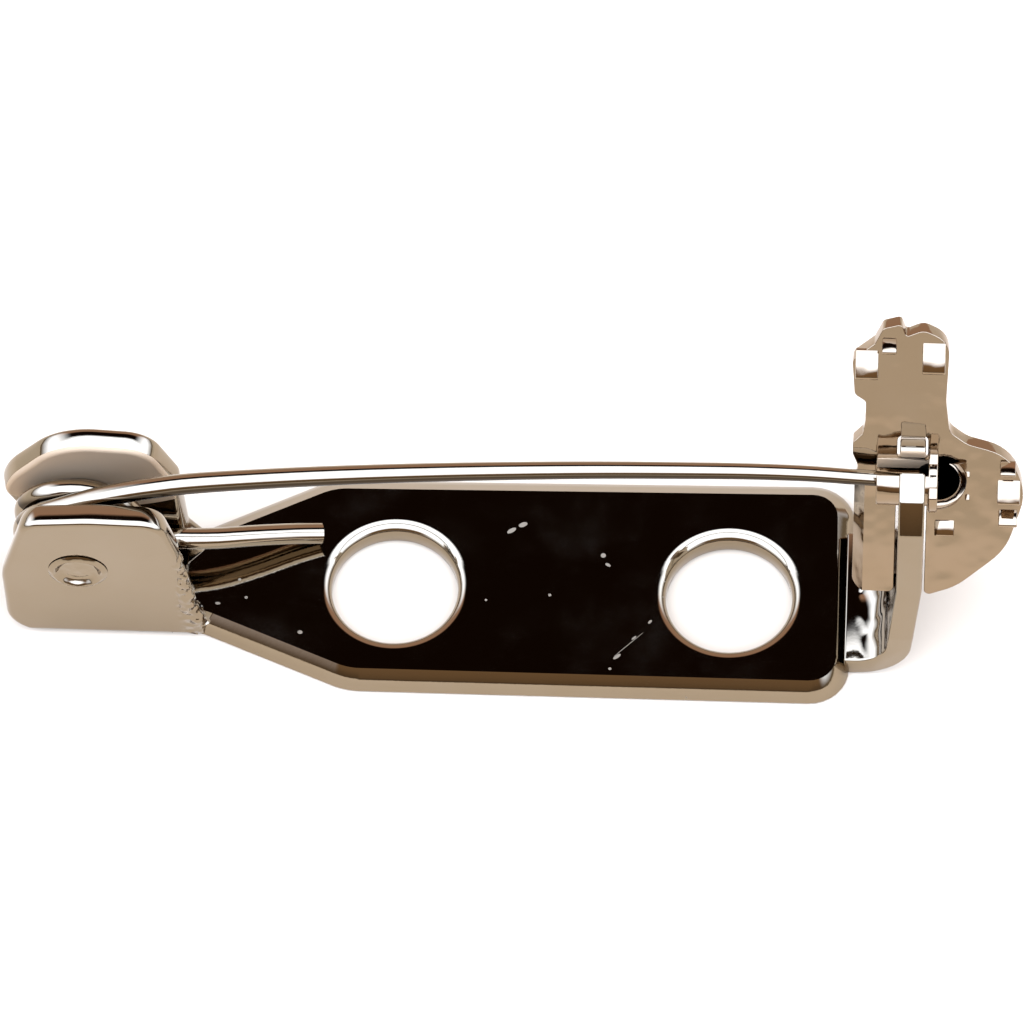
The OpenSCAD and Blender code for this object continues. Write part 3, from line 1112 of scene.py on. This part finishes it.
# what stands out of the thumb plate: left edge, lower edge, width, height up the plate and rise, in mm
GRIPS = (
    (5.66, 2.2, 0.44, 0.56, 0.24), (6.94, 2.36, 0.44, 0.6, 0.24), (6.16, 2.8, 0.28, 0.22, 0.24),
    (8.5, 0.02, 0.3, 0.2, 0.24), (8.46, -0.64, 0.44, 0.46, 0.24), (8.5, -1.16, 0.36, 0.28, 0.24),
)
LEDGE_AND_BEADS = (
    (7.27, -1.48, 0.38, 0.32, 0.12), (7.83, -0.12, 0.09, 0.12, 0.06), (7.84, -0.66, 0.09, 0.12, 0.06),
)


@dataclass
class CatchRotor:
    """The turning catch: slotted barrel, cup and the thumb plate with its grips. Sizes are in mm."""

    barrel: float = 0.5
    barrel_from: float = 6.12
    cup_x: float = 7.3
    cup: float = 0.42
    cup_wall: float = 0.14
    pin_way: float = 0.23
    way_to: float = 7.12
    thick: float = 0.32
    lean: float = 25.0
    offset: float = 0.34
    gap_low: float = 6.51
    gap_high: float = 7.1
    collar: float = 0.62
    collar_from: float = 7.12
    rim_roll: float = 0.012

    def on_thumb(self, u: float, v: float, w: float) -> Row:
        """Turns a place on the thumb plate, along the bar, up the plate and out of it, into the frame's.

        Args:
            u: place along the bar.
            v: place up the plate from the rotor's axis.
            w: height over the rotor's axis, square to the plate.

        Returns:
            The place in mm.
        """
        tilt = math.radians(90 - self.lean)
        along, out = math.cos(tilt), math.sin(tilt)
        return (u, v * along - w * out, ROTOR_Z + v * out + w * along)

    def thumb_plate(self) -> Piece:
        """Cuts the thumb plate.

        Returns:
            The thumb plate.
        """
        outline = rounded(
            [
                (5.7, -2.88, 0.15), (self.gap_low, -2.9, 0.12), (self.gap_low, 0.78, 0.1),
                (self.gap_high, 0.78, 0.1), (self.gap_high, -2.98, 0.1), (7.72, -2.74, 1.2),
                (8.66, -1.84, 1.4), (9.02, -0.5, 1.2), (8.68, 0.38, 0.9), (7.85, 0.62, 0.6), (7.5, 0.9, 0.3),
                (7.42, 1.6, 1), (7.46, 2.98, 0.5), (6.95, 3.24, 0.25), (6.62, 3.08, 0.06), (6.52, 3.36, 0.08),
                (6.18, 3.26, 0.12), (6.02, 2.9, 0.12), (5.6, 2.52, 0.2), (5.66, 1.72, 0.15), (5.88, 1.56, 0.1),
                (5.88, 1.12, 0.1), (5.84, 0.82, 0.1), (5.65, 0.6, 0.1), (5.65, 0.34, 0.1), (5.76, 0.06, 0.1),
                (5.7, -0.3, 0.2),
            ],
            6,
        )
        face = -self.offset
        piece = sheet_blank("thumb", outline, face - self.thick, face, self.rim_roll, self.on_thumb)
        # the inner leg's left edge is worn to a wide rounding
        left, wide, deep = 5.7, 0.2, 0.26
        corner = [
            (left - wide, face - deep), (left, face - deep), (left + wide, face), (left + wide, face + wide),
            (left - wide, face + wide),
        ]
        tool = slab("wear", corner, -3.2, -0.32, lambda a, b, c: self.on_thumb(a, c, b))
        combine(piece, tool, CUT)
        return piece

    def grip(self, u: float, v: float, wide: float, high: float, rise: float) -> Piece:
        """Raises one grip, which slopes up towards its lower edge.

        Args:
            u: its left edge.
            v: its lower edge.
            wide: its width.
            high: its height up the plate.
            rise: how far it stands out of the plate.

        Returns:
            The grip.
        """
        face = -self.offset
        side = [(0, -0.1), (high, -0.1), (high, 0.01), (0.4 * rise, rise), (0.12 * rise, rise), (0, 0.8 * rise)]
        outline = [(v + a, face + b) for a, b in side]
        piece = slab("grip", outline, u, u + wide, lambda a, b, c: self.on_thumb(c, a, b))
        round_edges(piece, 0.025, 2, 40)
        return piece

    def barrel_and_cup(self) -> Piece:
        """Turns the slotted barrel and the cup at its outer end.

        Returns:
            The barrel.
        """
        z = ROTOR_Z
        piece = rod("barrel", self.barrel, (self.barrel_from, 0, z), (self.cup_x, 0, z))
        combine(piece, rod("way", self.pin_way, (5, 0, z), (self.way_to, 0, z), 64), CUT)
        combine(piece, block("slot", (5, -SLOT / 2, z), (self.way_to, SLOT / 2, 7)), CUT)
        round_edges(piece, 0.03, 3, 40)
        collar = rod("collar", self.collar, (self.collar_from, 0, z), (self.cup_x, 0, z))
        combine(collar, sloped_top((7, 8), z, self.barrel - 0.06, self.collar - 0.16), CUT)
        round_edges(collar, 0.03, 3, 25)
        shell = ball("cup", self.cup + self.cup_wall, (self.cup_x, 0, z))
        combine(shell, ball("hollow", self.cup, (self.cup_x, 0, z)), CUT)
        combine(shell, block("top", (5, -2, z), (9, 2, 8)), CUT)
        combine(shell, block("left", (4, -2, 3), (self.cup_x - 0.1, 2, 8)), CUT)
        round_edges(shell, 0.02, 2, 50)
        return join("barrel", [piece, collar, shell])

    def build(self) -> Piece:
        """Builds the rotor.

        Returns:
            The piece.
        """
        raised = [self.grip(*row) for row in GRIPS + LEDGE_AND_BEADS]
        return finished(join("catch_rotor_plated", [self.barrel_and_cup(), self.thumb_plate(), *raised]))


# Studio

# the tent's light where it is brightest, a cool white that the warm metal turns neutral
TENT_WHITE = (4.4, 5.5, 7.8)


@dataclass
class Studio:
    """Pale floor, soft light and the camera at the photograph's angle."""

    elevation: float = 60.0
    yaw: float = 4.0
    roll: float = 1.9
    distance_mm: float = 200.0
    px_per_mm: float = 50.84
    image_px: int = 1024
    anchor_mm: Row = (0.0, 0.0, 0.55)
    anchor_px: Point = (561.75, 587.1)
    sensor_mm: float = 36.0
    glow: float = 7.8
    floor_m: float = 1.6
    lamp_at_m: Row = (0.05, -0.1, 0.6)
    lamp_across_m: float = 0.6
    lamp_watts: float = 1.5

    def camera(self) -> None:
        """Places the camera."""
        rise, turn, tip = (math.radians(a) for a in (self.elevation, self.yaw, self.roll))
        right = Vector((math.cos(turn), math.sin(turn), 0))
        back = Vector((-math.sin(turn), math.cos(turn), 0))
        top = back * math.sin(rise) + Vector((0, 0, 1)) * math.cos(rise)
        toward = -back * math.cos(rise) + Vector((0, 0, 1)) * math.sin(rise)
        across = right * math.cos(tip) - top * math.sin(tip)
        up = right * math.sin(tip) + top * math.cos(tip)
        middle = self.image_px / 2
        aim = (
            Vector(self.anchor_mm)
            - across * (self.anchor_px[0] - middle) / self.px_per_mm
            + up * (self.anchor_px[1] - middle) / self.px_per_mm
        )
        lens = bpy.data.cameras.new("studio_camera")
        lens.sensor_width = self.sensor_mm
        lens.lens = self.px_per_mm * self.distance_mm * self.sensor_mm / self.image_px
        lens.clip_start = 0.01
        lens.clip_end = 5
        eye = bpy.data.objects.new("studio_camera", lens)
        bpy.context.scene.collection.objects.link(eye)
        turned = Matrix((across, up, toward)).transposed().to_4x4()
        eye.matrix_world = Matrix.Translation((aim + toward * self.distance_mm) * MM) @ turned
        bpy.context.scene.camera = eye

    def floor(self) -> None:
        """Lays the pale floor."""
        bpy.ops.mesh.primitive_plane_add(size=self.floor_m, location=(0, 0, -0.02 * MM))
        ground = settled("studio_floor")
        material, tree = new_material("matt_warm_paper")
        # painted falloff of the light: the paper is a little darker away from the middle
        painted_falloff = tree.span(tree.length(tree.at["Object"]), (14 * MM, 34 * MM), smooth=True)
        paper = tree.mix(painted_falloff, linear("B8A68F"), linear("A69781"))
        tree.surface({"Roughness": 0.9, "Specular IOR Level": 0.0, "Base Color": paper})
        ground.data.materials.append(material)

    def light(self, place: float, colour: Row) -> Stop:
        """One stop of the tent, with its light as a share of the brightest."""
        return (place, (*(part / self.glow for part in colour), 1.0))

    def tent(self) -> None:
        """Sets the tent of soft light: white overhead, in front and at both ends, with a dark strip behind."""
        world = bpy.data.worlds.new("light_tent")
        bpy.context.scene.world = world
        world.use_nodes = True
        tree = Tree(world.node_tree)
        parts = tree.add("ShaderNodeSeparateXYZ", {0: tree.at["Generated"]}).outputs
        angle = tree.math("ARCTAN2", tree.math("MULTIPLY", parts["Y"], -1.0), parts["Z"])
        # light by the angle from straight up, towards the front, in degrees
        stops = (
            (-180, (0.4, 0.36, 0.32)), (-90, (0.85, 0.62, 0.5)), (-48, (0.95, 0.64, 0.52)),
            (-39, (0.016, 0.008, 0.004)), (-23, (0.012, 0.005, 0.002)), (-17, TENT_WHITE), (60, TENT_WHITE),
            (67, (0.5, 0.34, 0.2)), (78, (0.4, 0.27, 0.16)), (87, (0.2, 0.14, 0.09)), (92, (0.6, 0.5, 0.4)),
            (180, (0.4, 0.36, 0.32)),
        )
        turn = tree.span(angle, (-math.pi, math.pi))
        along = tree.ramp(turn, [self.light((degrees + 180) / 360, colour) for degrees, colour in stops])
        # light at the two ends, by the height from straight down to straight up
        heights = ((0.0, (0.5, 0.45, 0.4)), (0.52, (0.4, 0.34, 0.26)), (0.66, TENT_WHITE), (1.0, TENT_WHITE))
        ends = tree.ramp(tree.span(parts["Z"], (-1.0, 1.0)), [self.light(*stop) for stop in heights])
        sideways = tree.span(tree.math("ABSOLUTE", parts["X"]), (0.5, 0.86), smooth=True)
        both = tree.mix(sideways, along, ends)
        sky = tree.add("ShaderNodeBackground", {"Strength": self.glow, "Color": both})
        tree.add("ShaderNodeOutputWorld", {"Surface": sky.outputs[0]})

    def lamp(self) -> None:
        """Hangs a broad lamp for the floor, which the metal doesn't mirror."""
        bpy.ops.object.light_add(type="AREA", location=self.lamp_at_m)
        lamp = bpy.context.object
        lamp.name = "floor_lamp"
        lamp.data.shape = "DISK"
        lamp.data.size = self.lamp_across_m
        lamp.data.energy = self.lamp_watts
        lamp.rotation_euler = (-Vector(lamp.location)).to_track_quat("-Z", "Y").to_euler()
        lamp.visible_glossy = False


# Assembly

# a bright mirror, nicked on its top and creased where it was folded
STAMPING = NickelPlate(
    "bright_nickel_on_stamped_steel", nicks=PLATE_NICKS, crumples=FOLD_CREASES, rubs_and_sheen=PLATE_RUBS_AND_SHEEN
)
# staking ripples the plated ends, which breaks their mirror into short glints
RIVET = NickelPlate("nickel_on_staked_rivet", wave_mm=0.4, wave=0.22)
# drawing leaves the wire smooth, so it mirrors in long clean lines; its dark sides are painted shade
WIRE = NickelPlate("nickel_on_drawn_wire", shade=0.9, speck_share=0.0)
# tumbling leaves the rotor a little uneven, and the mottled mirror looks warmer
ROTOR = NickelPlate(
    "nickel_on_tumbled_rotor", tint="96836D", wave_mm=1.0, wave=0.3, shaded_hollows=ROTOR_SHADED_HOLLOWS, rubs_and_sheen=ROTOR_RUBS_AND_SHEEN
)


def dress(piece: Piece, finish: NickelPlate, body: Body, node: str) -> None:
    """Gives a piece its finish, its body and the node that it stands for.

    Args:
        piece: the piece.
        finish: its finish.
        body: the body it rides on.
        node: the CAD node it replaces.
    """
    piece.data.materials.clear()
    piece.data.materials.append(finish.build())
    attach(piece, body.value)
    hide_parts(node)
    LOG.info("%s: %d faces", piece.name, len(piece.data.polygons))


def main() -> None:
    """Builds the finding and its studio."""
    dress(BasePlate().build(), STAMPING, Body.ROOT, "base_plate")
    dress(HingeRivet().build(), RIVET, Body.ROOT, "hinge_rivet")
    dress(PinWire().build(), WIRE, Body.PIN, "pin_wire")
    dress(CatchRotor().build(), ROTOR, Body.ROTOR, "catch_rotor")
    studio = Studio()
    studio.floor()
    studio.tent()
    studio.lamp()
    studio.camera()
    bpy.context.scene.view_settings.view_transform = "Standard"


if __name__ == "__main__":
    main()
